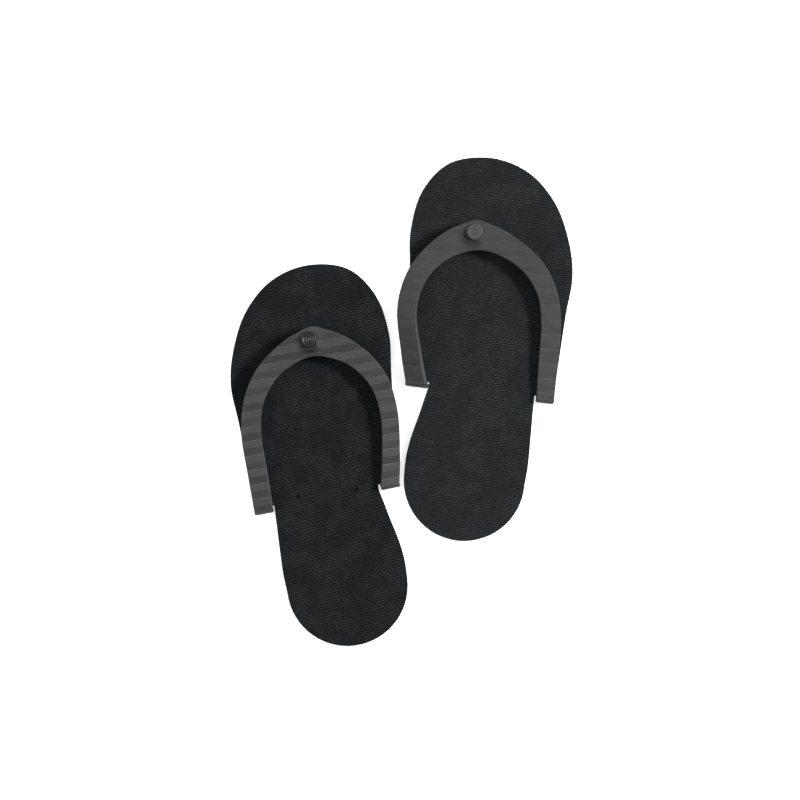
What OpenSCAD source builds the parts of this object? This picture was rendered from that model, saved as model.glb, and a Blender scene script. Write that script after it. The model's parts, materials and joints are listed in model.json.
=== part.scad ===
// A pair of fold-over foam flip-flops.
// Each one is cut from a single laminated sheet: foam with a ribbed underside and a woven cloth face.
// A loop cut free round the heel folds forward over the toes and becomes the strap,
// so the strap shows the sheet's ribbed side. A toe post and a button hold it to the sole.
//
// Shoe frame: heel at y = 0, toes along +Y, medial side along +X, floor at z = 0.
// Pair frame: toes along +Y, floor at z = 0, origin under the middle of the pair's box.

/* [Sheet] */
// Thickness of the foam layer
foam_t = 4.4; // [3.5:0.1:5]
// Thickness of the woven face cloth bonded to the foam
cloth_t = 0.6; // [0.4:0.1:1]

/* [Sole] */
// Length of the sole, heel to toe
sole_len = 275; // [265:1:285]
// Width of the sole across the ball of the foot
ball_w = 118; // [112:1:124]
// How much longer than its stated length the left sole is cut at the toes
left_toe_extra = 0.8; // [0:0.1:2]
// How much longer than its stated length the right sole is cut at the toes
right_toe_extra = 1.4; // [0:0.1:2]
// How much wider the left sole is cut on its medial side
left_ball_extra = -0.6; // [-1:0.1:1]
// How much wider the right sole is cut on its medial side
right_ball_extra = 0.8; // [-1:0.1:1]
// Radius of the heel
heel_r = 43.5; // [42:0.5:45]
// Distance of the strap's fold from the back of the heel, on the shoe's axis
fold_y = 109.1; // [108.5:0.1:111]
// Angle of the left shoe's fold line, medial end nearer the toes
left_tilt = 4.2; // [2:0.1:5]
// Angle of the right shoe's fold line, medial end nearer the toes
right_tilt = 2.3; // [2:0.1:5]
// How far the foam web bulges round the outside of the fold
web_bulge = 3.2; // [2:0.1:5]
// Width of the relief cut beside each end of the fold
relief_w = 1.4; // [1:0.1:1.6]
// Length of the relief cut in front of the fold
relief_len = 1; // [1:0.5:4]

/* [Strap] */
// Height of the strap's underside above the footbed at the toe post
strap_rise = 11; // [8:0.5:14]
// How far the left shoe's strap is pushed over towards its medial side
left_bow = 0; // [0:0.5:7]
// How far the right shoe's strap is pushed over towards its medial side
right_bow = 6; // [0:0.5:7]
// How far the tip of the left strap leans to the medial side
left_lean = -2.4; // [-3:0.1:3]
// How far the tip of the right strap leans to the medial side
right_lean = 0.8; // [-3:0.1:3]
// How much shorter the right strap's loop is than the left one
right_short = 1; // [0:0.1:2]

/* [Toe post] */
// Place of the left toe post across the shoe, medial side positive
left_post_x = -4.9; // [-6:0.1:8.5]
// Place of the right toe post across the shoe, medial side positive
right_post_x = 8.1; // [-6:0.1:8.5]
// Distance of the left toe post from the back of the heel
left_post_y = 222.4; // [218:0.1:223]
// Distance of the right toe post from the back of the heel
right_post_y = 221.5; // [218:0.1:223]
// Radius of the post's shaft
shaft_r = 2.5; // [2:0.1:3]
// Radius of the post's base disc, let into the underside of the sole
base_r = 8; // [6:0.5:10]
// Radius of the button
button_r = 5.9; // [5:0.1:6.5]
// Height of the button's rim
button_h = 2.8; // [2.2:0.1:4]

/* [Pair] */
// Turn of the left shoe, toes away from the right shoe
left_turn = 7.2; // [5:0.1:10]
// Turn of the right shoe, toes away from the left shoe
right_turn = 4.9; // [3:0.1:8]

/* [Hidden] */
$fn = 64;

foam_colour = [0.29, 0.29, 0.30];
cloth_colour = [0.14, 0.14, 0.15];
post_colour = [0.22, 0.22, 0.22];
button_colour = [0.25, 0.25, 0.25];

sheet_t = foam_t + cloth_t;
curve_steps = 6;            // straight pieces between two points of a smooth line
lateral_share = 0.4;        // share of a strap's push that reaches its lateral arm
bore_gap = 0.08;            // radial clearance of the shaft in its bores
fold_gap = 0.005;           // hairline between a fold web and the layers it joins
base_h = 1.2;               // thickness of the base disc
base_inset = 0.2;           // how far the base disc stays above the floor
tip_r = 1.6;                // radius of the post's tip inside the button
tip_proud = 0.3;            // how far the tip stands above the button's dish
button_edge = 0.9;          // round of the button's rim, and depth of its dish
tie_hole_r = 0.8;           // the two fine pricks where a tie held the pair together
tie_hole_floor = 1.4;       // height at which the pricks end inside the foam
tie_hole_spots = [[-27.2, 111.6], [15.4, 111.1]];
beyond = 1;                 // how far a cutting shape reaches past what it cuts
tall = 60;                  // more than the height of anything here
left_heel_centre = [-39.02, -132.29];
right_heel_centre = [45.01, -56.76];

// The outlines below are drawn for a sole 275 mm long and 118 mm wide at the ball.
long = sole_len / 275;
wide = ball_w / 118;

// Sheet edge from the lateral end of the fold, round the toes, to the medial end of the fold
forefoot_edge = [
    [-59, 0], [-60.6, 136], [-62.8, 169], [-65.2, 196], [-60.3, 221], [-48.2, 247],
    [-27.5, 266.8], [0, 275], [29, 269], [47, 247.5], [53, 219], [51.2, 192], [48.7, 152], [46, 0]];
// Edges of the waist, from the medial relief cut to the heel and from the heel to the lateral one
medial_waist = [[31, 109.5], [33.5, 100], [36.7, 87], [40.8, 71.5], [43.2, 57], [43.5, 43.5]];
lateral_waist = [[-43.5, 43.5], [-44.8, 58], [-45, 75], [-45, 92], [-45, 104.5]];
// Edges of the folded strap, from the lateral to the medial end of the fold
strap_outer = [
    [-59.2, 0], [-60.6, 132], [-61.6, 162], [-56.3, 187], [-43.3, 208], [-22.5, 223.6],
    [-8, 229.9], [1.5, 232.2], [10, 229], [22.5, 222.2], [37, 207.8],
    [48, 188], [51.6, 162], [49, 132], [46, 0]];
strap_inner = [
    [-46.4, 0], [-46.9, 132], [-47.7, 160], [-43.4, 181.5], [-32, 198], [-17, 207.5],
    [-2.8, 211], [11.5, 207.2], [25, 198], [35.5, 182], [39, 160], [35.8, 130], [32.4, 0]];

// Place of the fold line along the shoe, at a place across it. $tilt is the shoe's own fold angle.
function fold_at(x) = fold_y * long + x * tan($tilt);

// An edge in the shoe's size, its two ends on the fold line
function on_fold(edge) = [
    for (p = edge) p[1] == 0 ? [p[0] * wide, fold_at(p[0] * wide)] : [p[0] * wide, p[1] * long]];

// 0 up to one value, growing evenly to 1 at another
function ramp(value, from, to) = min(max((value - from) / (to - from), 0), 1);
function eased(t) = t * t * (3 - 2 * t);

// The forefoot's edge with the small differences of one shoe: $toe_extra longer and $ball_extra wider.
// The extra length grows from the ball to the toes, the extra width from the axis to the medial edge.
function cut_forefoot() = [
    for (p = on_fold(forefoot_edge))
        [p[0] + $ball_extra * ramp(p[1], fold_at(p[0]), fold_at(p[0]) + 40) * ramp(p[0], 0, 45),
         p[1] + $toe_extra * ramp(p[1], 190 * long, sole_len)]];

// A waist edge in the shoe's size; its heel end stays on the heel's circle
function scaled(edge) = [
    for (p = edge) p[1] == 43.5 ? [sign(p[0]) * heel_r, heel_r] : [p[0] * wide, p[1] * long]];

function curve_point(a, b, c, d, t) =
    0.5 * (2 * b + (c - a) * t + (2 * a - 5 * b + 4 * c - d) * t * t
           + (3 * b - a - 3 * c + d) * t * t * t);

// Smooth line through a list of points
function smooth_line(p) = [
    for (i = [0 : len(p) - 2], j = [0 : curve_steps - 1])
        curve_point(p[max(i - 1, 0)], p[i], p[i + 1], p[min(i + 2, len(p) - 1)], j / curve_steps),
    p[len(p) - 1]];

function last(p) = p[len(p) - 1];
function reversed(p) = [for (i = [len(p) - 1 : -1 : 0]) p[i]];

// A shoe's strap: the place of its toe post, its push, its lean and how much its loop is shortened
left_strap = [left_post_x, left_post_y, left_bow, left_lean, 0];
right_strap = [right_post_x, right_post_y, right_bow, right_lean, right_short];

// Pushes a strap edge over, leans its tip and shortens its crown; its ends stay on the fold.
// The push is reached 50 mm in front of the fold, the lean grows over the last third of the loop.
function pushed(edge, s) = [
    for (p = edge)
        let (ahead = p[1] - fold_at(p[0]),
             share = lateral_share + (1 - lateral_share) * eased(ramp(p[0], -50, 40)),
             push = s[2] * ramp(ahead, 0, 50) * share,
             lean = s[3] * pow(max(ahead - 85, 0) / 35, 2))
        [p[0] + push + lean, p[1] - s[4] * ramp(ahead, 60, 100)]];

function fold_distance(s) = (s[1] * long - fold_at(s[0])) * cos($tilt);
function strap_slope(s) = atan(strap_rise / fold_distance(s));
function seat_z(s) = sheet_t + (fold_distance(s) + button_r) * tan(strap_slope(s))
                     + sheet_t / cos(strap_slope(s)) + 0.05;

// Turns its children about the fold line, on top of the sole
module about_fold(angle) {
    translate([0, fold_y * long, sheet_t]) rotate([0, 0, $tilt]) rotate([angle, 0, 0])
        rotate([0, 0, -$tilt]) translate([0, -fold_y * long, -sheet_t]) children();
}

// Round end of a relief cut, walked from its right wall to its left wall
function relief_end(x) = [
    for (angle = [0 : 30 : 180])
        [x + relief_w / 2 * cos(angle), fold_at(x) + relief_len + relief_w / 2 * sin(angle)]];

function heel_arc() = [
    for (angle = [-6 : -6 : -174]) [heel_r * cos(angle), heel_r + heel_r * sin(angle)]];

// The relief cuts open on the fold line, next to the waist
medial_cut_x = 31 * wide + relief_w / 2;
lateral_cut_x = -45 * wide - relief_w / 2;

module sole_outline() {
    polygon(concat(
        smooth_line(cut_forefoot()),
        [[medial_cut_x + relief_w / 2, fold_at(medial_cut_x + relief_w / 2)]],
        relief_end(medial_cut_x),
        smooth_line(scaled(medial_waist)),
        heel_arc(),
        smooth_line(scaled(lateral_waist)),
        relief_end(lateral_cut_x),
        [[lateral_cut_x - relief_w / 2, fold_at(lateral_cut_x - relief_w / 2)]]));
}

module strap_outline(s) {
    polygon(concat(smooth_line(pushed(on_fold(strap_outer), s)),
                   reversed(smooth_line(pushed(on_fold(strap_inner), s)))));
}

module shaft_bore(s) {
    translate([s[0], s[1] * long, -beyond]) cylinder(r = shaft_r + bore_gap, h = tall);
}

module tie_holes() {
    for (spot = tie_hole_spots)
        translate([spot[0], spot[1], tie_hole_floor]) cylinder(r = tie_hole_r, h = tall);
}

module sole_foam(s, holes) {
    recess_h = base_inset + base_h + 0.05;
    color(foam_colour) difference() {
        linear_extrude(foam_t) sole_outline();
        shaft_bore(s);
        translate([s[0], s[1] * long, -beyond]) cylinder(r = base_r + bore_gap, h = beyond + recess_h);
        if (holes) tie_holes();
    }
}

module sole_cloth(s, holes) {
    color(cloth_colour) difference() {
        translate([0, 0, foam_t]) linear_extrude(cloth_t) sole_outline();
        shaft_bore(s);
        if (holes) tie_holes();
    }
}

// Everything behind the fold line
module behind_fold() {
    reach = 20;
    translate([0, fold_y * long, 0]) rotate([0, 0, $tilt])
        translate([-ball_w, -reach, -beyond]) cube([2 * ball_w, reach, tall]);
}

module strap_layer(s, from_z, thickness) {
    difference() {
        about_fold(strap_slope(s)) translate([0, 0, from_z]) linear_extrude(thickness) strap_outline(s);
        behind_fold();
        shaft_bore(s);
    }
}

module strap_cloth(s) {
    color(cloth_colour) strap_layer(s, sheet_t, cloth_t);
}

module strap_foam(s) {
    color(foam_colour) strap_layer(s, sheet_t + cloth_t, foam_t);
}

// One web of foam round the outside of the fold, between two places across the shoe
module fold_web(from_x, to_x) {
    width = (to_x - from_x) / cos($tilt);
    translate([from_x, fold_at(from_x), sheet_t]) rotate([0, 0, $tilt]) rotate([90, 0, 90])
        linear_extrude(width)
            polygon([for (angle = [90 : 15 : 270])
                [web_bulge * cos(angle) - fold_gap, sheet_t * sin(angle)]]);
}

module fold_webs() {
    color(foam_colour) {
        fold_web(strap_outer[0][0] * wide, strap_inner[0][0] * wide);
        fold_web(last(strap_inner)[0] * wide, last(strap_outer)[0] * wide);
    }
}

// Base disc, shaft and the thin tip that holds the button
module toe_post(s) {
    tip_top = seat_z(s) + button_h - button_edge + tip_proud;
    color(post_colour) translate([s[0], s[1] * long, base_inset]) {
        cylinder(r = base_r, h = base_h);
        cylinder(r = shaft_r, h = seat_z(s) - base_inset);
        cylinder(r = tip_r, h = tip_top - base_inset);
    }
}

// Round button with a dished top, bored for the post's tip
module toe_button(s) {
    color(button_colour) translate([s[0], s[1] * long, seat_z(s)]) rotate_extrude() difference() {
        union() {
            translate([tip_r, 0]) square([button_r - tip_r, button_h - button_edge]);
            translate([tip_r, 0]) square([button_r - button_edge - tip_r, button_h]);
            translate([button_r - button_edge, button_h - button_edge]) circle(r = button_edge);
        }
        translate([0, button_h - button_edge]) square([button_r - 2 * button_edge, button_h]);
    }
}

module left_shoe() {
    $tilt = left_tilt;
    $toe_extra = left_toe_extra;
    $ball_extra = left_ball_extra;
    translate(left_heel_centre) rotate([0, 0, left_turn]) translate([0, -heel_r, 0]) children();
}

module right_shoe() {
    $tilt = right_tilt;
    $toe_extra = right_toe_extra;
    $ball_extra = right_ball_extra;
    translate(right_heel_centre) rotate([0, 0, -right_turn])
        mirror([1, 0, 0]) translate([0, -heel_r, 0]) children();
}

left_shoe() sole_foam(left_strap, true);  // left_sole_foam
left_shoe() sole_cloth(left_strap, true);  // left_sole_cloth
left_shoe() fold_webs();  // left_fold_webs
left_shoe() strap_foam(left_strap);  // left_strap_foam
left_shoe() strap_cloth(left_strap);  // left_strap_cloth
left_shoe() toe_post(left_strap);  // left_toe_post
left_shoe() toe_button(left_strap);  // left_toe_button
right_shoe() sole_foam(right_strap, false);  // right_sole_foam
right_shoe() sole_cloth(right_strap, false);  // right_sole_cloth
right_shoe() fold_webs();  // right_fold_webs
right_shoe() strap_foam(right_strap);  // right_strap_foam
right_shoe() strap_cloth(right_strap);  // right_strap_cloth
right_shoe() toe_post(right_strap);  // right_toe_post
right_shoe() toe_button(right_strap);  // right_toe_button
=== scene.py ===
import functools
import json
import math

import bmesh
import bpy
import numpy as np
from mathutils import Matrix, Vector, geometry, noise


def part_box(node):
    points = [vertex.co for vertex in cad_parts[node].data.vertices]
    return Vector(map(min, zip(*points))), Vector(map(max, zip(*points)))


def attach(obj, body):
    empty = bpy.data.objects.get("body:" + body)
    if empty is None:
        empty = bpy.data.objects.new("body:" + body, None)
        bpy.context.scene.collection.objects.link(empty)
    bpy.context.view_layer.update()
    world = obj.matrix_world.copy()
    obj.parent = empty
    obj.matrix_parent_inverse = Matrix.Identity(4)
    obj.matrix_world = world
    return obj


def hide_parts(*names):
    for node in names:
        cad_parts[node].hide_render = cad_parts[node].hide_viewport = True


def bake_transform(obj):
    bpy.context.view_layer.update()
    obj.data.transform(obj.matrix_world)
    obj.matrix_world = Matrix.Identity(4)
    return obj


MM = 0.001
SIDES = ("left", "right")

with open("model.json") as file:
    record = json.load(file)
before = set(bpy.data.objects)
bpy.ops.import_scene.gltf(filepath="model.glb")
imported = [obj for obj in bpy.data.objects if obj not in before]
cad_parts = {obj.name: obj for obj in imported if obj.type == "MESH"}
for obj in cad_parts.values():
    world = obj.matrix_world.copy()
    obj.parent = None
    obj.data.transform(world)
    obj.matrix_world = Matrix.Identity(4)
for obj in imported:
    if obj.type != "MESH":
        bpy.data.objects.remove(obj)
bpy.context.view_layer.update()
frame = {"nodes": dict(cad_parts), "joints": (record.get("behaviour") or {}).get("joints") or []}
joints = {joint["name"]: joint for joint in frame["joints"]}


# ---------------------------------------------------------------- places taken from the frame

UPWARD = 0.9               # a face whose normal points up by more than this is a top face
AT_FOLD = 0.6 * MM         # a corner of the strap this near the fold is one of its ends


def top_loops(node):
    """Boundary loops of a CAD node's upward faces, as arrays of points, the longest first."""
    mesh = frame["nodes"][node].data
    corner = {}
    def key(index):
        co = mesh.vertices[index].co
        name = (round(co.x, 7), round(co.y, 7), round(co.z, 7))
        corner[name] = co
        return name
    lowest_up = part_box(node)[0].z + 1e-5
    edges = {}
    for face in mesh.polygons:
        if face.normal.z < UPWARD or face.center.z <= lowest_up:
            continue
        names = [key(i) for i in face.vertices]
        for a, b in zip(names, names[1:] + names[:1]):
            if (b, a) in edges:
                del edges[(b, a)]
            else:
                edges[(a, b)] = True
    follow = {a: b for a, b in edges}
    loops = []
    while follow:
        start = next(iter(follow))
        loop, at = [], start
        while at in follow:
            loop.append(corner[at])
            at = follow.pop(at)
        loops.append(np.array([tuple(co) for co in loop]))
    loops.sort(key=lambda loop: -loop_length(loop))
    return loops


def loop_length(loop):
    """Length all round a closed loop."""
    return float(np.linalg.norm(np.roll(loop, -1, 0) - loop, axis=1).sum())


class Shoe:
    """Places of one shoe, in the row frame, from its CAD nodes and joints."""

    def __init__(self, side):
        self.side = side
        fold = joints[side + "_strap_fold"]
        post = joints[side + "_button_turn"]
        self.fold = np.array(fold["pos_m"])
        self.across = np.array(fold["axis"])
        self.toeward = np.cross((0, 0, 1), self.across)
        self.post = np.array(post["pos_m"])
        self.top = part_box(side + "_sole_cloth")[1].z
        self.cloth_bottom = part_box(side + "_sole_cloth")[0].z
        self.cloth = self.top - self.cloth_bottom
        self.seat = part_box(side + "_toe_button")[0].z
        self.medial = 1 if side == "left" else -1

    def ahead(self, points):
        """Distance in front of the fold line."""
        return (np.asarray(points)[..., :2] - self.fold[:2]) @ self.toeward[:2]

    def aside(self, points):
        """Distance along the fold line, medial side positive."""
        return (np.asarray(points)[..., :2] - self.fold[:2]) @ self.across[:2] * self.medial


# ---------------------------------------------------------------- shapes

MERGE = 1e-7               # points closer than this are one point


def smoothstep(t):
    """0 up to t = 0, 1 from t = 1, and an even S between them."""
    t = np.clip(t, 0, 1)
    return t * t * (3 - 2 * t)


def resample(loop, step, sharp=math.radians(35)):
    """Points spaced about evenly round a closed loop, keeping its sharp corners."""
    pts = np.asarray(loop)[:, :2]
    count = len(pts)
    corners = []
    for i in range(count):
        a = pts[i] - pts[i - 1]
        b = pts[(i + 1) % count] - pts[i]
        turn = math.atan2(a[0] * b[1] - a[1] * b[0], a @ b)
        if abs(turn) > sharp:
            corners.append(i)
    corners = corners or [0]
    out = []
    for i, j in zip(corners, corners[1:] + corners[:1]):
        if j <= i:
            j += count
        run = np.array([pts[m % count] for m in range(i, j + 1)])
        at = np.concatenate([[0], np.cumsum(np.linalg.norm(np.diff(run, axis=0), axis=1))])
        pieces = max(1, round(at[-1] / step))
        where = np.linspace(0, at[-1], pieces + 1)[:-1]
        out.extend(zip(np.interp(where, at, run[:, 0]), np.interp(where, at, run[:, 1])))
    return np.array(out)


def inset(loop, distance):
    """The loop moved towards its left by distance: inwards for a counter-clockwise one."""
    before = loop - np.roll(loop, 1, 0)
    after = np.roll(loop, -1, 0) - loop
    normals = []
    for d in (before, after):
        d = d / np.maximum(np.linalg.norm(d, axis=1, keepdims=True), 1e-9)
        normals.append(np.stack([-d[:, 1], d[:, 0]], 1))
    mean = normals[0] + normals[1]
    mean /= np.maximum(np.linalg.norm(mean, axis=1, keepdims=True), 1e-9)
    stretch = 1 / np.clip((mean * normals[0]).sum(1, keepdims=True), 0.5, 1)
    return loop + mean * distance * stretch


def signed_area(loop):
    """Area inside a loop, negative when it runs clockwise."""
    x, y = loop[:, 0], loop[:, 1]
    return 0.5 * float((x * np.roll(y, -1) - np.roll(x, -1) * y).sum())


def counter_clockwise(loop):
    return loop if signed_area(loop) > 0 else loop[::-1]


def inside(points, loop):
    """Which points lie inside a closed loop."""
    x, y = points[:, 0], points[:, 1]
    hit = np.zeros(len(points), bool)
    for (x1, y1), (x2, y2) in zip(loop, np.roll(loop, -1, 0)):
        crosses = (y1 > y) != (y2 > y)
        if y1 != y2:
            hit ^= crosses & (x < (x2 - x1) * (y - y1) / (y2 - y1) + x1)
    return hit


def nearest(points, loop):
    """Distance of each point from a loop's corners."""
    best = np.full(len(points), 1e9)
    for start in range(0, len(loop), 64):
        part = loop[start:start + 64]
        gap = np.linalg.norm(points[:, None, :] - part[None, :, :], axis=2).min(1)
        best = np.minimum(best, gap)
    return best


def new_object(name, vertices, faces, smooth_angle=35):
    """A mesh object with doubled points merged, outward normals, and edges sharp above an angle."""
    mesh = bpy.data.meshes.new(name)
    mesh.from_pydata([tuple(v) for v in vertices], [], [tuple(int(i) for i in f) for f in faces])
    mesh.validate()
    obj = bpy.data.objects.new(name, mesh)
    bpy.context.scene.collection.objects.link(obj)
    bm = bmesh.new()
    bm.from_mesh(mesh)
    bmesh.ops.remove_doubles(bm, verts=bm.verts, dist=MERGE)
    bmesh.ops.recalc_face_normals(bm, faces=bm.faces)
    for face in bm.faces:
        face.smooth = True
    limit = math.radians(smooth_angle)
    for edge in bm.edges:
        edge.smooth = len(edge.link_faces) == 2 and edge.calc_face_angle(0) < limit
    bm.to_mesh(mesh)
    bm.free()
    return obj


def store(obj, name, values):
    """Keeps a number for each point of a mesh, for its material to read."""
    attribute = obj.data.attributes.new(name, "FLOAT", "POINT")
    attribute.data.foreach_set("value", values.astype(np.float32))


def point_places(obj):
    return np.array([tuple(v.co) for v in obj.data.vertices])


def paint(obj, tone, ribbed):
    """Stores the ribs' painted light and shade where the face is ribbed, and 1 on a piece's cut walls,
    which are painted paler as painted light.
    """
    normals = np.array([tuple(v.normal) for v in obj.data.vertices])
    store(obj, "rib", np.where(ribbed(normals), tone(point_places(obj)), 0))
    store(obj, "cut", smoothstep((0.75 - np.abs(normals[:, 2])) / 0.4))


def fill(rings, points):
    """Triangles between an outer ring, the holes after it and loose points, all in plan."""
    coords, edges = [], []
    for ring in rings:
        first = len(coords)
        coords.extend(Vector(p) for p in ring)
        edges.extend((first + i, first + (i + 1) % len(ring)) for i in range(len(ring)))
    coords.extend(Vector(p) for p in points)
    result = geometry.delaunay_2d_cdt(coords, edges, [], 1, 1e-8)
    flat = np.array([tuple(v) for v in result[0]])
    faces = [list(f) for f in result[2]]
    if len(rings) > 1:
        centres = np.array([flat[f].mean(0) for f in faces])
        keep = np.ones(len(faces), bool)
        for ring in rings[1:]:
            keep &= ~inside(centres, np.asarray(ring))
        faces = [f for f, ok in zip(faces, keep) if ok]
    return flat, faces


def slab(name, outline, holes, bottom, top, top_round, bottom_round, top_points, bottom_points,
         top_shape, bottom_shape):
    """A closed sheet between two heights with rounded rims. The shapes add to its top and bottom."""
    def steps(radius, from_z, direction):
        angles = np.radians((0, 22.5, 45, 67.5, 90))
        return [(radius * (1 - math.cos(a)), from_z + direction * radius * math.sin(a)) for a in angles]
    levels = [(d, z, "bottom") for d, z in reversed(steps(bottom_round, bottom + bottom_round, -1))]
    levels += [(d, z, "top") for d, z in steps(top_round, top - top_round, 1)]
    vertices, faces, rims = [], [], []
    for loop in [outline] + holes:
        rows = []
        for depth, z, end in levels:
            ring = inset(loop, depth)
            shape = top_shape(ring) if end == "top" else bottom_shape(ring)
            first = len(vertices)
            vertices.extend((x, y, z + extra) for (x, y), extra in zip(ring, shape))
            rows.append((first, ring))
        for (low, ring), (high, _) in zip(rows, rows[1:]):
            n = len(ring)
            faces.extend((low + i, low + (i + 1) % n, high + (i + 1) % n, high + i) for i in range(n))
        rims.append((rows[0], rows[-1]))
    for end, points, z, shape in ((0, bottom_points, bottom, bottom_shape),
                                  (1, top_points, top, top_shape)):
        rings = [rim[end][1] for rim in rims]
        flat, triangles = fill(rings, points)
        first = len(vertices)
        vertices.extend((x, y, z + extra) for (x, y), extra in zip(flat, shape(flat)))
        if end == 0:
            triangles = [f[::-1] for f in triangles]
        faces.extend(tuple(first + i for i in f) for f in triangles)
    return new_object(name, vertices, faces)


def lathe(name, profile, centre, ring=False, smooth_angle=35, segments=96):
    """A turned piece: (radius, height) points spun about a vertical axis. A ring's profile closes up."""
    vertices, faces = [], []
    for radius, height in profile:
        for k in range(segments):
            angle = 2 * math.pi * k / segments
            x = centre[0] + radius * math.cos(angle)
            y = centre[1] + radius * math.sin(angle)
            vertices.append((x, y, height))
    rows = len(profile)
    for row in range(rows if ring else rows - 1):
        low, high = row * segments, ((row + 1) % rows) * segments
        for k in range(segments):
            n = (k + 1) % segments
            faces.append((low + k, low + n, high + n, high + k))
    if not ring:
        faces.append(tuple(range(segments))[::-1])
        faces.append(tuple((rows - 1) * segments + k for k in range(segments)))
    return new_object(name, vertices, faces, smooth_angle)


def arc(centre_r, centre_z, radius, start, end, count=6):
    """Profile points on an arc, angles in degrees from the outward direction."""
    angles = np.radians(np.linspace(start, end, count))
    return [(centre_r + radius * math.cos(a), centre_z + radius * math.sin(a)) for a in angles]


# ---------------------------------------------------------------- the foam sheet

RIB_PITCH = 10.5 * MM      # from one rib to the next
RIB_FLAT = 0.54            # share of the pitch that is flat land
RIB_EDGE = 0.35 * MM       # width of the sharp step between ribs
RIB_LIP = 0.16             # how far the step's edge stands above the land, as a share of the depth
RIB_DEPTH = {"left": 0.7 * MM, "right": 0.16 * MM}
RIB_START = {"left": 6.5 * MM, "right": 2.4 * MM}
RIB_TURN = {"left": -2.6, "right": 2.2}    # turn of the ribs from the fold line, degrees
RIB_WAVER = 0.5 * MM       # how far a rib wanders from its straight line
RIB_WAVER_LENGTH = 17 * MM
RIB_SEED = {"left": 5.0, "right": 9.0}
RIB_SHOULDER = 0.35        # share of a ramp's fall that comes in its first fifth
GROOVE_FADE = 0.03         # how softly a groove's tone begins and ends, as a share of the pitch
RIB_LIP_HIGHLIGHT = {"left": 1.0, "right": 2.0}     # how bright the painted highlight on a step's lip is
RIB_CURL = 0.1             # share of the pitch over which a step's edge curls up
LIP_PLACE = 0.05           # where the painted highlight on the lip lies behind the step, as a share of the pitch
LIP_WIDTH = 0.08           # and how far it fades out to each side
LIP_HIGHLIGHT_FROM = 65 * MM        # the lips' painted highlights grow brighter from here back to the fold
LIP_HIGHLIGHT_FADE = 30 * MM
CROWN_FROM = 85 * MM       # the strap's crown begins here, in front of the fold
CROWN_FADE = 25 * MM
CROWN_DARKEN = {"left": 0.3, "right": 0.8}   # how much darker the crown is painted


class Ribs:
    """The sheet's ribbed face: lands, ramps down and sharp steps up, walking from the toes to the heel."""

    def __init__(self, shoe):
        self.side = shoe.side
        turn = math.radians(RIB_TURN[shoe.side])
        c, s = math.cos(turn), math.sin(turn)
        x, y = shoe.toeward[:2]
        self.forward = np.array((c * x - s * y, s * x + c * y))
        self.start = shoe.fold[:2]
        self.depth = RIB_DEPTH[shoe.side]

    def waver(self, points):
        """How far the rib at each point wanders forwards."""
        return ripple(points, RIB_WAVER_LENGTH, RIB_WAVER, RIB_SEED[self.side])

    def place(self, points):
        """Distance in front of the fold, and the rib count heelwards: whole at each step."""
        distance = (np.asarray(points)[:, :2] - self.start) @ self.forward
        return distance, (RIB_START[self.side] - distance + self.waver(points)) / RIB_PITCH

    def strength(self, count):
        """No two ribs are pressed alike: a depth factor for each, between about 0.7 and 1.15."""
        return 0.93 + 0.22 * np.sin(np.floor(count) * 2.4)

    def drop(self, points):
        """How far the face lies below its lands."""
        count = self.place(points)[1]
        t = count % 1.0
        ramp = np.clip((t - RIB_FLAT) / (1 - RIB_FLAT), 0, 1)
        ramp = RIB_SHOULDER * smoothstep(ramp * 5) + (1 - RIB_SHOULDER) * ramp
        step = smoothstep((1 - t) * RIB_PITCH / RIB_EDGE)
        lip = RIB_LIP * smoothstep(1 - t / RIB_CURL)
        return (ramp * step - lip) * self.depth * self.strength(count)

    def tone(self, points):
        """Painted light and shade of the ribbed face: above 0 for the grooves' painted shade and the
        darker crown, below 0 for painted highlights on the step lips.
        """
        distance, count = self.place(points)
        t = count % 1.0
        # Painted shade on each ramp down into a groove.
        groove = smoothstep((t - RIB_FLAT + GROOVE_FADE) / 0.1) * smoothstep((1 - t) / GROOVE_FADE)
        # Painted highlight on each step's lip, brighter near the fold.
        lip = smoothstep(1 - np.abs(t - LIP_PLACE) / LIP_WIDTH)
        near_fold = smoothstep((LIP_HIGHLIGHT_FROM - distance) / LIP_HIGHLIGHT_FADE)
        # The crown is painted darker.
        crown_dark = CROWN_DARKEN[self.side] * smoothstep((distance - CROWN_FROM) / CROWN_FADE)
        lip_highlight = lip * (0.5 + near_fold) * RIB_LIP_HIGHLIGHT[self.side]
        return groove * self.strength(count) - lip_highlight + crown_dark


def ripple(points, length, size, seed):
    """Slow seeded unevenness, at most about the size given, for each point."""
    return np.array([noise.noise(Vector((p[0] / length, p[1] / length, seed))) for p in points]) * size


def hex_points(loop, gap, margin):
    """Points in staggered rows inside a loop, clear of its edge by the margin."""
    low, high = loop.min(0), loop.max(0)
    rows = []
    for j, y in enumerate(np.arange(low[1], high[1], gap * 0.866)):
        xs = np.arange(low[0] + (j % 2) * gap / 2, high[0], gap)
        rows.extend((x, y) for x in xs)
    points = np.array(rows)
    points = points[inside(points, loop)]
    return points[nearest(points, loop) > margin]


def rib_points(ribs, loop, gap, margin):
    """Points on lines along the ribs, with close pairs at each step."""
    along = np.array((ribs.forward[1], -ribs.forward[0]))
    ahead = (loop - ribs.start) @ ribs.forward
    aside = (loop - ribs.start) @ along
    shares = (0, 0.05, 0.1, 0.2, 0.32, 0.46, 0.52, 0.65, 0.8, 0.9, 1 - RIB_EDGE / RIB_PITCH)
    points = []
    for k in range(math.floor(ahead.min() / RIB_PITCH) - 1, math.ceil(ahead.max() / RIB_PITCH) + 2):
        for row, share in enumerate(shares):
            distance = RIB_START[ribs.side] + (k - share) * RIB_PITCH
            for offset in np.arange(aside.min() + (row % 2) * gap / 2, aside.max(), gap):
                points.append(ribs.start + ribs.forward * distance + along * offset)
    points = np.array(points)
    points += ribs.waver(points)[:, None] * ribs.forward
    points = points[inside(points, loop)]
    return points[nearest(points, loop) > margin]


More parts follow.
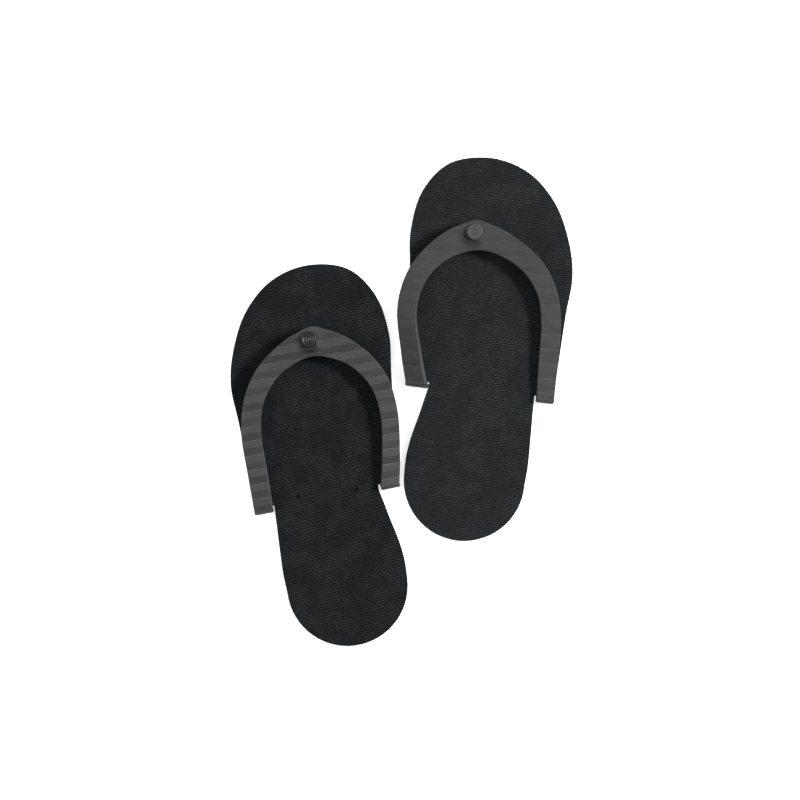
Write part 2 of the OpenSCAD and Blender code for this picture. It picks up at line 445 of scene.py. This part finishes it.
FACE_UNEVEN = 0.25 * MM    # how far a sole's faces swell and dip
FACE_LENGTH = 45 * MM      # over about this distance
FACE_DROP = 0.2 * MM       # how far they lie lower, so that they stay inside the sheet
FACE_SEED = {"left": 3.0, "right": 8.0}
GRID = 3.0 * MM            # between the points inside a sole's faces
OUTLINE_STEP = 1.0 * MM    # between the points round a sole
HOLE_STEP = 0.5 * MM       # between the points round a hole
CLOTH_ROUND = 0.28 * MM    # round of the cloth's upper edge
FOAM_ROUND = 0.35 * MM     # round of the foam's lower edge
JOINT_ROUND = 0.05 * MM    # round of the edges where cloth and foam meet
POST_BASE = 1.2 * MM       # thickness of the toe post's base disc
POST_GAP = 0.08 * MM       # room round the toe post in its bores
PRICK_R = 0.8 * MM         # the two pricks in the left footbed
PRICK_FLOOR = 1.4 * MM     # height at which they end inside the foam
PUCKER_R = 2.2 * MM        # how far round a prick the cloth is drawn in
PUCKER_DEPTH = 0.3 * MM


def pucker(points, pricks):
    """1 at the edge of a prick, fading to 0 where the cloth lies flat again."""
    drawn = np.zeros(len(points))
    for prick in pricks:
        away = np.linalg.norm(points[:, :2] - prick, axis=1)
        drawn = np.maximum(drawn, smoothstep((PUCKER_R - away) / (PUCKER_R - PRICK_R)))
    return drawn


def rings_round(centres, radii, count):
    """Points on circles round each centre."""
    angles = np.linspace(0, 2 * math.pi, count, endpoint=False)
    circle = np.stack([np.cos(angles), np.sin(angles)], 1)
    return [tuple(centre + point * radius) for centre in centres for radius in radii for point in circle]


def build_sole(shoe):
    """The footbed's cloth over the sole's foam, bored for the toe post and ribbed underneath."""
    side = shoe.side
    loops = top_loops(side + "_sole_cloth")
    outline = counter_clockwise(resample(loops[0], OUTLINE_STEP))
    holes = [counter_clockwise(resample(loop, HOLE_STEP))[::-1] for loop in loops[1:]]
    at_post = [np.linalg.norm(hole.mean(0) - shoe.post[:2]) < 1 * MM for hole in holes]
    bore = [hole for hole, ok in zip(holes, at_post) if ok]
    pricks = [hole.mean(0) for hole, ok in zip(holes, at_post) if not ok]
    def uneven(points):
        return ripple(points, FACE_LENGTH, FACE_UNEVEN, FACE_SEED[side]) - FACE_DROP
    def puckered(points):
        return uneven(points) - PUCKER_DEPTH * pucker(points, pricks)
    def clear_of_pricks(point):
        return all(np.linalg.norm(point - prick) > PUCKER_R + 0.6 * MM for prick in pricks)
    plain = hex_points(outline, GRID, 1.4 * MM)
    around = [tuple(point) for point in plain if clear_of_pricks(point)]
    around += rings_round(pricks, (1.3 * MM, 1.75 * MM, PUCKER_R), 18)
    cloth = slab(side + "_footbed_cloth", outline, holes, shoe.cloth_bottom, shoe.top,
                 CLOTH_ROUND, JOINT_ROUND, around, plain, puckered, uneven)
    # How far the cloth is drawn in round each prick, where the material paints shade.
    store(cloth, "prick_shade", pucker(point_places(cloth), pricks))
    ribs = Ribs(shoe)
    foam = slab(side + "_sole_foam_ribbed", outline, bore, 0.0, shoe.cloth_bottom,
                JOINT_ROUND, FOAM_ROUND, plain, rib_points(ribs, outline, GRID, 1.2 * MM),
                uneven, lambda p: np.maximum(ribs.drop(p), 0))
    for prick in pricks:
        drill(foam, prick, PRICK_R, low=PRICK_FLOOR)
    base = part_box(side + "_toe_post")
    base_r = (base[1].x - base[0].x) / 2
    drill(foam, shoe.post, base_r + POST_GAP, high=base[0].z + POST_BASE + POST_GAP)
    foam.data.materials.clear()
    paint(foam, ribs.tone, lambda n: n[:, 2] < -0.3)
    for piece, node, material in ((cloth, "_sole_cloth", cloth_material(shoe)),
                                  (foam, "_sole_foam", foam_material(shoe))):
        piece.data.materials.append(material)
        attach(piece, side + "_sole")
        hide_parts(side + node)


# ---------------------------------------------------------------- the strap

ALONG = 640                # steps along the strap
# Each shoe's lateral and medial arm, in this order:
# the outward roll at the fold in degrees, the share of the strap over which it fades,
# how far a rolled arm stands outside its fold, and its extra width there as a share.
ROLL = {"left": (6, 9), "right": (3, 28)}
ROLL_REACH = {"left": (0.3, 0.34), "right": (0.3, 0.42)}
SPLAY = {"left": (0.35 * MM, 0.4 * MM), "right": (0.2 * MM, 2.2 * MM)}
WIDEN = {"left": (0.03, 0.0), "right": (0.0, 0.16)}
SEAT_R = 5.8 * MM          # the foam lies flat under the button as far as this
SEAT_FADE = 5.0 * MM       # and rises to the strap's own slope over this
STRAP_WIDTH = 12.5 * MM    # usual width of the strap, which sets the size of its rounded edges
STRAP_ROUND = 0.4 * MM     # round of the foam's upper edges
LINING_ROUND = 0.25 * MM   # round of the lining's lower edges
STRAP_BORE = 2.58 * MM     # radius of the toe post's bore in the strap


def strap_chains(shoe):
    """The strap's outer and inner edges in plan, both from the lateral to the medial end."""
    loop = top_loops(shoe.side + "_strap_foam")[0]
    ahead = shoe.ahead(loop)
    ends = [i for i in range(len(loop)) if ahead[i] < AT_FOLD]
    aside = shoe.aside(loop)
    order = sorted(ends, key=lambda i: aside[i])
    outer_l, inner_l, inner_m, outer_m = order[0], order[1], order[-2], order[-1]
    def walk(a, b):
        n = len(loop)
        forward = [(a + k) % n for k in range((b - a) % n + 1)]
        backward = [(a - k) % n for k in range((a - b) % n + 1)]
        blocked = set(order) - {a, b}
        return forward if not blocked & set(forward) else backward
    outer = loop[walk(outer_l, outer_m)][:, :2]
    inner = loop[walk(inner_l, inner_m)][:, :2]
    def even(chain):
        at = np.concatenate([[0], np.cumsum(np.linalg.norm(np.diff(chain, axis=0), axis=1))])
        where = np.linspace(0, at[-1], ALONG + 1)
        return np.stack([np.interp(where, at, chain[:, k]) for k in (0, 1)], 1)
    return even(outer), even(inner)


def smooth_chain(chain, passes=12):
    """Takes the small facets out of an evenly spaced line, keeping its ends."""
    out = chain.copy()
    for _ in range(passes):
        out[1:-1] = 0.5 * out[1:-1] + 0.25 * (out[:-2] + out[2:])
    return out


class StrapShape:
    """Where the strap's layers run: edges, slope, roll, ribs and the seat under the button."""

    def __init__(self, shoe):
        self.shoe = shoe
        self.ribs = Ribs(shoe)
        outer, inner = strap_chains(shoe)
        self.outer, self.inner = smooth_chain(outer), smooth_chain(inner)
        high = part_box(shoe.side + "_strap_cloth")[1]
        self.thickness = shoe.top
        self.slope = (high.z - shoe.cloth - shoe.top) / shoe.ahead(self.outer).max()
        t = np.linspace(0, 1, ALONG + 1)
        reach = ROLL_REACH[shoe.side]
        lateral = smoothstep(1 - t / reach[0])
        medial = smoothstep(1 - (1 - t) / reach[1])
        def on_arms(pair):
            return pair[0] * lateral + pair[1] * medial
        self.roll = on_arms(np.radians(ROLL[shoe.side]))
        self.splay = on_arms(SPLAY[shoe.side])
        self.widen = 1 + on_arms(WIDEN[shoe.side])

    def section(self, share, depth):
        """Points all along the strap: share 0 at the outer edge to 1 at the inner, depth from the top."""
        shoe = self.shoe
        span = self.inner - self.outer
        width = np.linalg.norm(span, axis=1)
        inward = span / width[:, None]
        across = share * width * self.widen
        up = self.thickness - depth
        c, s = np.cos(self.roll), np.sin(self.roll)
        run = across * c + (self.thickness - up) * s - self.splay
        rise = across * s + up * c
        level = shoe.top + np.maximum(shoe.ahead(self.outer + span * share), 0) * self.slope
        return np.column_stack([self.outer + inward * run[:, None], level + rise])

    def top_face(self, points):
        """Ribs and the seat under the button, applied to points of the top face."""
        shoe = self.shoe
        out = points.copy()
        out[:, 2] -= self.ribs.drop(points)
        away = np.linalg.norm(points[:, :2] - shoe.post[:2], axis=1)
        hold = 1 - smoothstep((away - SEAT_R) / SEAT_FADE)
        out[:, 2] += hold * (shoe.seat - 0.1 * MM - out[:, 2])
        return out


# Painted shadow of each button on the foam, darkest on one side of the button's rim: towards which side,
# how far from the button's centre, and how dark against the ribs.
BUTTON_SHADOW_AIM = {"left": (0.0, -1.0), "right": (-0.38, -0.92)}
BUTTON_SHADOW_REACH = {"left": 12.0 * MM, "right": 15.0 * MM}
BUTTON_SHADOW_TONE = {"left": 2.2, "right": 6.5}
BUTTON_SHADOW_FROM = 6 * MM        # just outside the button's rim


def button_shadow(points, shoe):
    """1 where the button's painted shadow lies on the foam beside its rim, fading away from it."""
    offset = points[:, :2] - shoe.post[:2]
    away = np.maximum(np.linalg.norm(offset, axis=1), 1e-6)
    facing = smoothstep(((offset @ np.array(BUTTON_SHADOW_AIM[shoe.side])) / away - 0.25) / 0.65)
    reach = BUTTON_SHADOW_REACH[shoe.side]
    return facing * smoothstep((reach - away) / (reach - BUTTON_SHADOW_FROM))


def sweep(name, shape, ring, top_rows):
    """Sweeps a closed cross-section along the strap. top_rows says which points are on the ribbed face."""
    rows = []
    for (share, depth), on_top in zip(ring, top_rows):
        points = shape.section(share, depth)
        rows.append(shape.top_face(points) if on_top else points)
    count, length = len(ring), len(rows[0])
    faces = []
    for r in range(count):
        low, high = r * length, ((r + 1) % count) * length
        faces.extend((low + i, low + i + 1, high + i + 1, high + i) for i in range(length - 1))
    faces.append(tuple(r * length for r in range(count)))
    faces.append(tuple(r * length + length - 1 for r in reversed(range(count))))
    return new_object(name, np.concatenate(rows), faces)


def layer_ring(top, bottom, top_rim, bottom_rim, width, cells):
    """A layer's closed cross-section with rounded rims: (share, depth) points, and which lie on top."""
    turned = np.radians((0, 30, 60, 90))
    t, b = top_rim / width, bottom_rim / width
    def rim(share, depth, size, angles):
        return [(share * (1 - math.cos(a)), depth + size * (1 - math.sin(a))) for a in angles]
    def mirrored(points):
        return [(1 - share, depth) for share, depth in points]
    wall = np.linspace(top + top_rim, bottom - bottom_rim, 5)[1:-1]
    upper = rim(t, top, top_rim, turned)
    upper += [(share, top) for share in np.linspace(t, 1 - t, cells + 1)[1:-1]]
    upper += mirrored(rim(t, top, top_rim, turned[::-1]))
    lower = [(1, depth) for depth in wall]
    lower += mirrored(rim(b, bottom, -bottom_rim, turned))
    lower += [(share, bottom) for share in np.linspace(1 - b, b, cells // 2 + 1)[1:-1]]
    lower += rim(b, bottom, -bottom_rim, turned[::-1])
    lower += [(0, depth) for depth in wall[::-1]]
    return upper + lower, [True] * len(upper) + [False] * len(lower)


def drill(obj, centre, radius, low=-0.05, high=0.05):
    """Cuts a round vertical hole in a piece between two heights."""
    depth = high - low
    bm = bmesh.new()
    bmesh.ops.create_cone(bm, cap_ends=True, segments=72, radius1=radius, radius2=radius, depth=depth)
    bmesh.ops.translate(bm, verts=bm.verts, vec=(centre[0], centre[1], (low + high) / 2))
    mesh = bpy.data.meshes.new("drill")
    bm.to_mesh(mesh)
    bm.free()
    cutter = bpy.data.objects.new("drill", mesh)
    bpy.context.scene.collection.objects.link(cutter)
    cut = obj.modifiers.new("hole", "BOOLEAN")
    cut.operation = "DIFFERENCE"
    cut.solver = "EXACT"
    cut.object = cutter
    bpy.context.view_layer.update()
    done = bpy.data.meshes.new_from_object(obj.evaluated_get(bpy.context.evaluated_depsgraph_get()))
    obj.modifiers.clear()
    obj.data = done
    bpy.data.objects.remove(cutter)


def build_strap(shoe):
    """The strap's ribbed foam over its cloth lining, bored for the toe post."""
    side = shoe.side
    shape = StrapShape(shoe)
    foam_bottom = shape.thickness - shoe.cloth
    ring, on_top = layer_ring(0, foam_bottom, STRAP_ROUND, JOINT_ROUND, STRAP_WIDTH, 26)
    foam = sweep(side + "_strap_foam_ribbed", shape, ring, on_top)
    ring, on_top = layer_ring(foam_bottom, shape.thickness, JOINT_ROUND, LINING_ROUND, STRAP_WIDTH, 12)
    lining = sweep(side + "_strap_lining", shape, ring, [False] * len(on_top))
    for piece in (foam, lining):
        drill(piece, shoe.post, STRAP_BORE)
        piece.data.materials.clear()
        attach(piece, side + "_strap")
    # The ribs' painted light and shade, plus the button's painted shadow on the foam beside its rim.
    def tone(points):
        return shape.ribs.tone(points) + BUTTON_SHADOW_TONE[side] * button_shadow(points, shoe)
    paint(foam, tone, lambda n: n[:, 2] > 0.6)
    foam.data.materials.append(foam_material(shoe))
    lining.data.materials.append(cloth_material(shoe))
    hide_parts(side + "_strap_foam")
    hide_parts(side + "_strap_cloth")
    return shape


WEB_SQUARE = 0.5           # below 1 the web's outside is squarer than a half ellipse
WEB_BULGE = 3.2 * MM       # how far a web stands out behind the fold
WEB_EDGE = 0.4 * MM        # how much less at its two ends
WEB_TURNS = 28             # steps round the bend
WEB_CELLS = 24             # and across the arm


def build_webs(shoe, shape):
    """The foam bent round the outside of the fold: one web per arm, both in one piece."""
    side = shoe.side
    vertices, faces = [], []
    turns, cells = WEB_TURNS, WEB_CELLS
    for end in (0, -1):
        first = len(vertices)
        for j in range(cells + 1):
            share = j / cells
            top = shape.section(share, 0)[end]
            span = shape.inner[end] - shape.outer[end]
            foot = shape.outer[end] + span * share * shape.widen[end]
            tight = 1 - WEB_EDGE / WEB_BULGE * abs(2 * share - 1) ** 12
            for k in range(turns + 1):
                angle = math.pi * k / turns
                out = WEB_BULGE * tight * math.sin(angle) ** WEB_SQUARE
                climb = 0.5 - 0.5 * math.copysign(abs(math.cos(angle)) ** 0.8, math.cos(angle))
                plan = foot * (1 - climb) + top[:2] * climb
                vertices.append((*(plan - shoe.toeward[:2] * out), top[2] * climb))
        across = turns + 1
        for j in range(cells):
            a = first + j * across
            faces.extend((a + k, a + k + 1, a + k + 1 + across, a + k + across) for k in range(turns))
            faces.append((a, a + across, a + across + turns, a + turns))
        faces.append(tuple(first + k for k in range(across)))
        faces.append(tuple(first + cells * across + k for k in range(across))[::-1])
    web = new_object(side + "_fold_web", vertices, faces)
    paint(web, shape.ribs.tone, lambda n: n[:, 2] > 0.6)
    web.data.materials.append(foam_material(shoe))
    top = (*shoe.fold[:2], 2 * shoe.top - 0.5 * MM)
    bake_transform(web)
    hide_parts(side + "_fold_webs")


# ---------------------------------------------------------------- toe post and button

SHAFT_R = 2.5 * MM         # the post's shaft
TIP_R = 1.6 * MM           # the post's tip, showing through the button
MOULDED = 0.25 * MM        # depth of the rings moulded into the underside of the base disc
BUTTON_GROOVE = {"left": 0.3 * MM, "right": 0.12 * MM}   # ring pressed into the button's top


def build_post(shoe):
    """Base disc with moulded rings, shaft, and the tip that shows through the button."""
    side = shoe.side
    low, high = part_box(side + "_toe_post")
    base_r = (high.x - low.x) / 2
    disc_top = low.z + POST_BASE
    tip_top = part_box(side + "_toe_button")[1].z - 0.1 * MM
    profile = [(1.2 * MM, low.z + MOULDED), (1.6 * MM, low.z), (base_r - 2.4 * MM, low.z)]
    profile += [(base_r - 2.1 * MM, low.z + MOULDED), (base_r - 1.7 * MM, low.z + MOULDED)]
    profile += [(base_r - 1.4 * MM, low.z), (base_r - 0.3 * MM, low.z)]
    profile += arc(base_r - 0.3 * MM, low.z + 0.3 * MM, 0.3 * MM, -60, 0, 4)
    profile += arc(base_r - 0.4 * MM, disc_top - 0.4 * MM, 0.4 * MM, 0, 90, 5)
    profile += arc(SHAFT_R + 0.5 * MM, disc_top + 0.5 * MM, 0.5 * MM, 270, 180, 5)
    profile += [(SHAFT_R, shoe.seat - 0.2 * MM), (SHAFT_R - 0.2 * MM, shoe.seat)]
    profile += [(TIP_R, shoe.seat + 0.05 * MM)]
    profile += arc(TIP_R - 0.6 * MM, tip_top - 0.6 * MM, 0.6 * MM, 0, 80, 6)
    post = lathe(side + "_toe_post_plug", profile, shoe.post)
    post.data.materials.append(plastic_material("post_plastic", shoe))
    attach(post, side + "_button")
    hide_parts(side + "_toe_post")


def build_button(shoe):
    """Round cap with a rolled rim, a ring pressed into its top and a hole for the post's tip."""
    side = shoe.side
    low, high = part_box(side + "_toe_button")
    radius = (high.x - low.x) / 2
    tip = TIP_R + 0.05 * MM
    groove = BUTTON_GROOVE[side]
    rim = 1.3 * MM
    profile = [(tip, low.z + 0.01 * MM), (radius - 0.7 * MM, low.z + 0.01 * MM)]
    profile += arc(radius - 0.7 * MM, low.z + 0.45 * MM, 0.44 * MM, -80, -10, 5)
    profile += [(radius - 0.12 * MM, low.z + 1.2 * MM)]
    profile += arc(radius - rim, high.z - rim, rim, 0, 90, 8)
    profile += [(radius - 1.9 * MM, high.z - 0.1 * groove), (radius - 2.2 * MM, high.z - groove)]
    profile += [(radius - 2.5 * MM, high.z - groove), (radius - 2.9 * MM, high.z - 0.3 * groove)]
    profile += [(tip + 0.5 * MM, high.z - 0.2 * groove), (tip + 0.15 * MM, high.z - groove)]
    profile += [(tip, high.z - 1.3 * groove)]
    button = lathe(side + "_button_cap", profile, shoe.post, ring=True, smooth_angle=50)
    button.data.materials.append(plastic_material("button_plastic", shoe))
    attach(button, side + "_button")
    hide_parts(side + "_toe_button")


# ---------------------------------------------------------------- materials

class Nodes:
    """Short ways to add and join shader nodes."""

    def __init__(self, name):
        self.material = bpy.data.materials.new(name)
        self.material.use_nodes = True
        self.tree = self.material.node_tree
        self.shader = self.tree.nodes["Principled BSDF"]

    def add(self, kind, **values):
        node = self.tree.nodes.new(kind)
        for name, value in values.items():
            if name in node.inputs:
                node.inputs[name].default_value = value
            else:
                setattr(node, name, value)
        return node

    def join(self, source, target):
        self.tree.links.new(source, target)

    def math(self, operation, a, b=None, clamp=False):
        node = self.add("ShaderNodeMath", operation=operation, use_clamp=clamp)
        for socket, value in zip(node.inputs, (a, b)):
            if value is None:
                continue
            if isinstance(value, (int, float)):
                socket.default_value = value
            else:
                self.join(value, socket)
        return node.outputs[0]

    def ramp(self, value, stops):
        node = self.add("ShaderNodeValToRGB")
        while len(node.color_ramp.elements) > 1:
            node.color_ramp.elements.remove(node.color_ramp.elements[-1])
        for i, (at, colour) in enumerate(stops):
            element = node.color_ramp.elements[0] if i == 0 else node.color_ramp.elements.new(at)
            element.position = at
            element.color = (*colour, 1)
        self.join(value, node.inputs[0])
        return node.outputs[0]

    def plus(self, a, b):
        return self.math("ADD", a, b)

    def times(self, a, b):
        return self.math("MULTIPLY", a, b)

    def less(self, a, b):
        return self.math("SUBTRACT", a, b)

    def line(self, value, slope, start):
        return self.plus(self.times(value, slope), start)

    def multiply(self, colour, factor):
        node = self.add("ShaderNodeMix", data_type="RGBA", blend_type="MULTIPLY")
        node.inputs["Factor"].default_value = 1
        self.join(colour, node.inputs["A"])
        self.join(factor, node.inputs["B"])
        return node.outputs["Result"]

    def attribute(self, name):
        return self.add("ShaderNodeAttribute", attribute_name=name).outputs["Fac"]

    def stretched(self, vector, scale):
        node = self.add("ShaderNodeMapping")
        node.inputs["Scale"].default_value = scale
        self.join(vector, node.inputs["Vector"])
        return node.outputs["Vector"]

    def noise(self, vector, scale, detail=4, roughness=0.55):
        node = self.add("ShaderNodeTexNoise", Scale=scale, Detail=detail, Roughness=roughness)
        self.join(vector, node.inputs["Vector"])
        return node.outputs["Fac"]

    def bump(self, height, strength, distance, normal=None):
        node = self.add("ShaderNodeBump", Strength=strength, Distance=distance)
        self.join(height, node.inputs["Height"])
        if normal is not None:
            self.join(normal, node.inputs["Normal"])
        return node.outputs["Normal"]

    def shoe_coordinates(self, shoe):
        """Coordinates turned so that x runs along the shoe's fold line."""
        coordinates = self.add("ShaderNodeTexCoord")
        turn = self.add("ShaderNodeMapping")
        turn.inputs["Rotation"].default_value[2] = -math.atan2(shoe.across[1], shoe.across[0])
        self.join(coordinates.outputs["Object"], turn.inputs["Vector"])
        return turn.outputs["Vector"]


def grey(value, tint=(0, 0, 0)):
    """A grey of that brightness, with red, green and blue each tinted by a share."""
    return tuple(value * (1 + t) for t in tint)


FOAM_TONE = {"left": 0.0322, "right": 0.0276}
RIB_SHADE = {"left": 0.3, "right": 0.09}   # how much darker a groove's painted shade makes it than the land; scales all the ribs' painted light and shade


@functools.cache
def foam_material(shoe):
    """Matte foam: painted shade in the grooves and painted highlights on the lips, fine streaks along the
    ribs, open pores, and cut walls painted paler as painted light.
    """
    n = Nodes(shoe.side + "_foam")
    vector = n.shoe_coordinates(shoe)
    level = FOAM_TONE[shoe.side]
    slow = n.noise(vector, 60, 3)
    pores = n.add("ShaderNodeTexVoronoi", Scale=2400, feature="F1")
    n.join(vector, pores.inputs["Vector"])
    fine = n.noise(vector, 1500, 5, 0.65)
    base = n.ramp(slow, [(0.3, grey(level * 0.93, (0.02, 0, 0))),
                         (0.7, grey(level * 1.06, (0, 0, 0.03)))])
    rib = n.attribute("rib")
    cut = n.attribute("cut")
    # The ribs' painted shade and highlights, and the button's painted shadow, darken or lighten the foam
    # here.
    keep = n.less(1.0, n.times(rib, RIB_SHADE[shoe.side]))
    streak = n.noise(n.stretched(vector, (110, 1300, 1)), 1, 3, 0.6)
    uneven = n.times(n.line(fine, 0.3, 0.85), n.line(streak, 1.1, 0.45))
    colour = n.multiply(base, n.times(keep, uneven))
    # Cut walls painted paler, as painted light on them.
    lit_walls = n.ramp(fine, [(0.3, grey(level * 1.5, (0, 0, 0.06))),
                          (0.7, grey(level * 1.9, (0, 0, 0.05)))])
    blend = n.add("ShaderNodeMix", data_type="RGBA")
    n.join(cut, blend.inputs["Factor"])
    n.join(colour, blend.inputs["A"])
    n.join(lit_walls, blend.inputs["B"])
    n.join(blend.outputs["Result"], n.shader.inputs["Base Color"])
    n.join(n.ramp(fine, [(0.3, (0.62,) * 3), (0.7, (0.8,) * 3)]), n.shader.inputs["Roughness"])
    n.shader.inputs["Specular IOR Level"].default_value = 0.16
    skin = n.bump(fine, 0.35, 0.12 * MM)
    n.join(n.bump(pores.outputs["Distance"], 0.25, 0.1 * MM, skin), n.shader.inputs["Normal"])
    return n.material


CLOTH_TONE = {"left": 0.0098, "right": 0.0112}
CLOTH_CONTRAST = {"left": 2.1, "right": 1.6}   # how dark the gaps between strands are
WARP_PITCH = 1.6 * MM      # between strands that run along the shoe
WEFT_PITCH = 1.5 * MM      # between strands that run across it


@functools.cache
def cloth_material(shoe):
    """A fine plain weave: humped strands crossing over and under, with slubs and lint."""
    n = Nodes(shoe.side + "_face_cloth")
    vector = n.shoe_coordinates(shoe)
    parts = n.add("ShaderNodeSeparateXYZ")
    n.join(vector, parts.inputs[0])
    waver = n.noise(vector, 60, 2)
    def strands(axis, pitch):
        return n.math("DIVIDE", n.plus(axis, n.times(waver, 0.5 * pitch)), pitch)
    def hump(count):
        return n.math("POWER", n.math("SINE", n.times(n.math("FRACT", count), math.pi)), 0.7)
    u = strands(parts.outputs["X"], WARP_PITCH)
    v = strands(parts.outputs["Y"], WEFT_PITCH)
    crossing = n.plus(n.math("FLOOR", u), n.math("FLOOR", v))
    odd = n.math("ABSOLUTE", n.math("MODULO", crossing, 2))
    patch = n.math("MULTIPLY", n.plus(n.noise(vector, 75, 1), -0.42), 5.0, clamp=True)
    over = n.plus(n.times(odd, 0.3), n.times(patch, 0.3))
    under = n.plus(n.times(odd, 0.13), n.times(patch, 0.2))
    warp = n.times(hump(u), n.plus(over, 0.1))
    weft = n.times(hump(v), n.less(0.95, under))
    height = n.math("MAXIMUM", warp, weft)
    slub = n.noise(n.stretched(vector, (260, 700, 1)), 1, 3, 0.7)
    fuzz = n.noise(vector, 2600, 4, 0.7)
    slow = n.noise(vector, 28, 3)
    level = CLOTH_TONE[shoe.side]
    base = n.ramp(slow, [(0.3, grey(level * 0.95, (-0.13, -0.02, 0.06))),
                         (0.72, grey(level * 1.06, (-0.1, -0.02, 0.05)))])
    shade = n.line(n.math("POWER", height, CLOTH_CONTRAST[shoe.side]), 2.1, 0.03)
    shade = n.times(shade, n.line(slub, 1.7, 0.13))
    shade = n.times(shade, n.line(fuzz, 0.8, 0.6))
    # Painted shade in the dimples where the cloth is drawn in round the pricks.
    shade = n.times(shade, n.less(1.0, n.times(n.attribute("prick_shade"), 0.6)))
    n.join(n.multiply(base, shade), n.shader.inputs["Base Color"])
    n.shader.inputs["Roughness"].default_value = 0.9
    n.shader.inputs["Specular IOR Level"].default_value = 0.04
    n.shader.inputs["Sheen Weight"].default_value = 0.01
    n.shader.inputs["Sheen Roughness"].default_value = 0.4
    weave = n.bump(height, 0.8, 0.25 * MM)
    n.join(n.bump(fuzz, 0.3, 0.08 * MM, weave), n.shader.inputs["Normal"])
    return n.material


PLASTIC_TONE = {"left_post_plastic": 0.024, "right_post_plastic": 0.026,
                "left_button_plastic": 0.0075, "right_button_plastic": 0.024}
PLASTIC_ROUGH = {"left": (0.3, 0.45), "right": (0.48, 0.62)}   # from its smoothest to its roughest spots
PLASTIC_GLOSS = {"left": 0.2, "right": 0.3}


def plastic_material(kind, shoe):
    """Satin moulded plastic with a fine grain and slow smears."""
    name = f"{shoe.side}_{kind}"
    n = Nodes(name)
    level = PLASTIC_TONE[name]
    smooth, rough = PLASTIC_ROUGH[shoe.side]
    coordinates = n.add("ShaderNodeTexCoord").outputs["Object"]
    grain = n.noise(coordinates, 900, 4)
    smear = n.noise(coordinates, 120, 2)
    base = n.ramp(smear, [(0.35, grey(level * 0.92)), (0.7, grey(level * 1.08))])
    n.join(base, n.shader.inputs["Base Color"])
    n.join(n.ramp(grain, [(0.3, (smooth,) * 3), (0.7, (rough,) * 3)]), n.shader.inputs["Roughness"])
    n.shader.inputs["Specular IOR Level"].default_value = PLASTIC_GLOSS[shoe.side]
    n.join(n.bump(grain, 0.12, 0.05 * MM), n.shader.inputs["Normal"])
    return n.material


FLOOR_GLOW = 0.55          # lifts the pale floor to white, as in a product picture


def floor_material():
    """A plain pale floor, very slightly uneven in tone."""
    n = Nodes("pale_floor")
    coordinates = n.add("ShaderNodeTexCoord").outputs["Object"]
    tone = n.noise(coordinates, 3, 2)
    n.join(n.ramp(tone, [(0.3, (0.93,) * 3), (0.7, (0.95,) * 3)]), n.shader.inputs["Base Color"])
    n.shader.inputs["Roughness"].default_value = 0.9
    n.shader.inputs["Specular IOR Level"].default_value = 0.1
    n.shader.inputs["Emission Color"].default_value = (1, 1, 1, 1)
    n.shader.inputs["Emission Strength"].default_value = FLOOR_GLOW
    return n.material


# ---------------------------------------------------------------- stage

FRAME_WIDTH = 0.5752       # width of floor that the picture shows
VIEW_CENTRE = (-0.0012, 0.0012)    # place on the floor that is in the middle of the picture
CAMERA_HEIGHT = 2.6
SHARP_HEIGHT = 5 * MM      # the footbeds' height, at which the floor's width is measured
SENSOR = 36                # millimetres
FLOOR_HALF = 6             # half the side of the floor
WORLD_LIGHT = 0.44


def add_camera():
    """A long camera straight above the pair, its upper side towards the toes."""
    data = bpy.data.cameras.new("camera")
    data.sensor_width = SENSOR
    data.lens = SENSOR * (CAMERA_HEIGHT - SHARP_HEIGHT) / FRAME_WIDTH
    data.clip_end = 50
    camera = bpy.data.objects.new("camera", data)
    camera.location = (*VIEW_CENTRE, CAMERA_HEIGHT)
    bpy.context.scene.collection.objects.link(camera)
    bpy.context.scene.camera = camera


def add_area(name, place, size, power):
    """A round soft light aimed at the middle of the pair."""
    data = bpy.data.lights.new(name, "AREA")
    data.shape = "DISK"
    data.size = size
    data.energy = power
    light = bpy.data.objects.new(name, data)
    light.location = place
    light.rotation_euler = (-Vector(place)).to_track_quat("-Z", "Y").to_euler()
    bpy.context.scene.collection.objects.link(light)


def add_stage():
    """Floor, pale surroundings, and three lights: a key from the right, a fill and a weak one above."""
    corners = [(x * FLOOR_HALF, y * FLOOR_HALF, 0) for x, y in ((-1, -1), (1, -1), (1, 1), (-1, 1))]
    floor = new_object("floor", corners, [(0, 1, 2, 3)])
    floor.data.materials.append(floor_material())
    world = bpy.data.worlds.new("studio")
    world.use_nodes = True
    background = world.node_tree.nodes["Background"]
    background.inputs["Color"].default_value = (1, 1, 1, 1)
    background.inputs["Strength"].default_value = WORLD_LIGHT
    bpy.context.scene.world = world
    add_area("key", (1.5, 0.35, 1.6), 0.5, 88)
    add_area("fill", (-1.5, 0.1, 1.4), 1.4, 20)
    add_area("top", (0.1, 0.2, 2.2), 1.6, 10)
    bpy.context.scene.view_settings.view_transform = "Standard"


for side in SIDES:
    one = Shoe(side)
    build_sole(one)
    build_webs(one, build_strap(one))
    build_post(one)
    build_button(one)
add_stage()
add_camera()
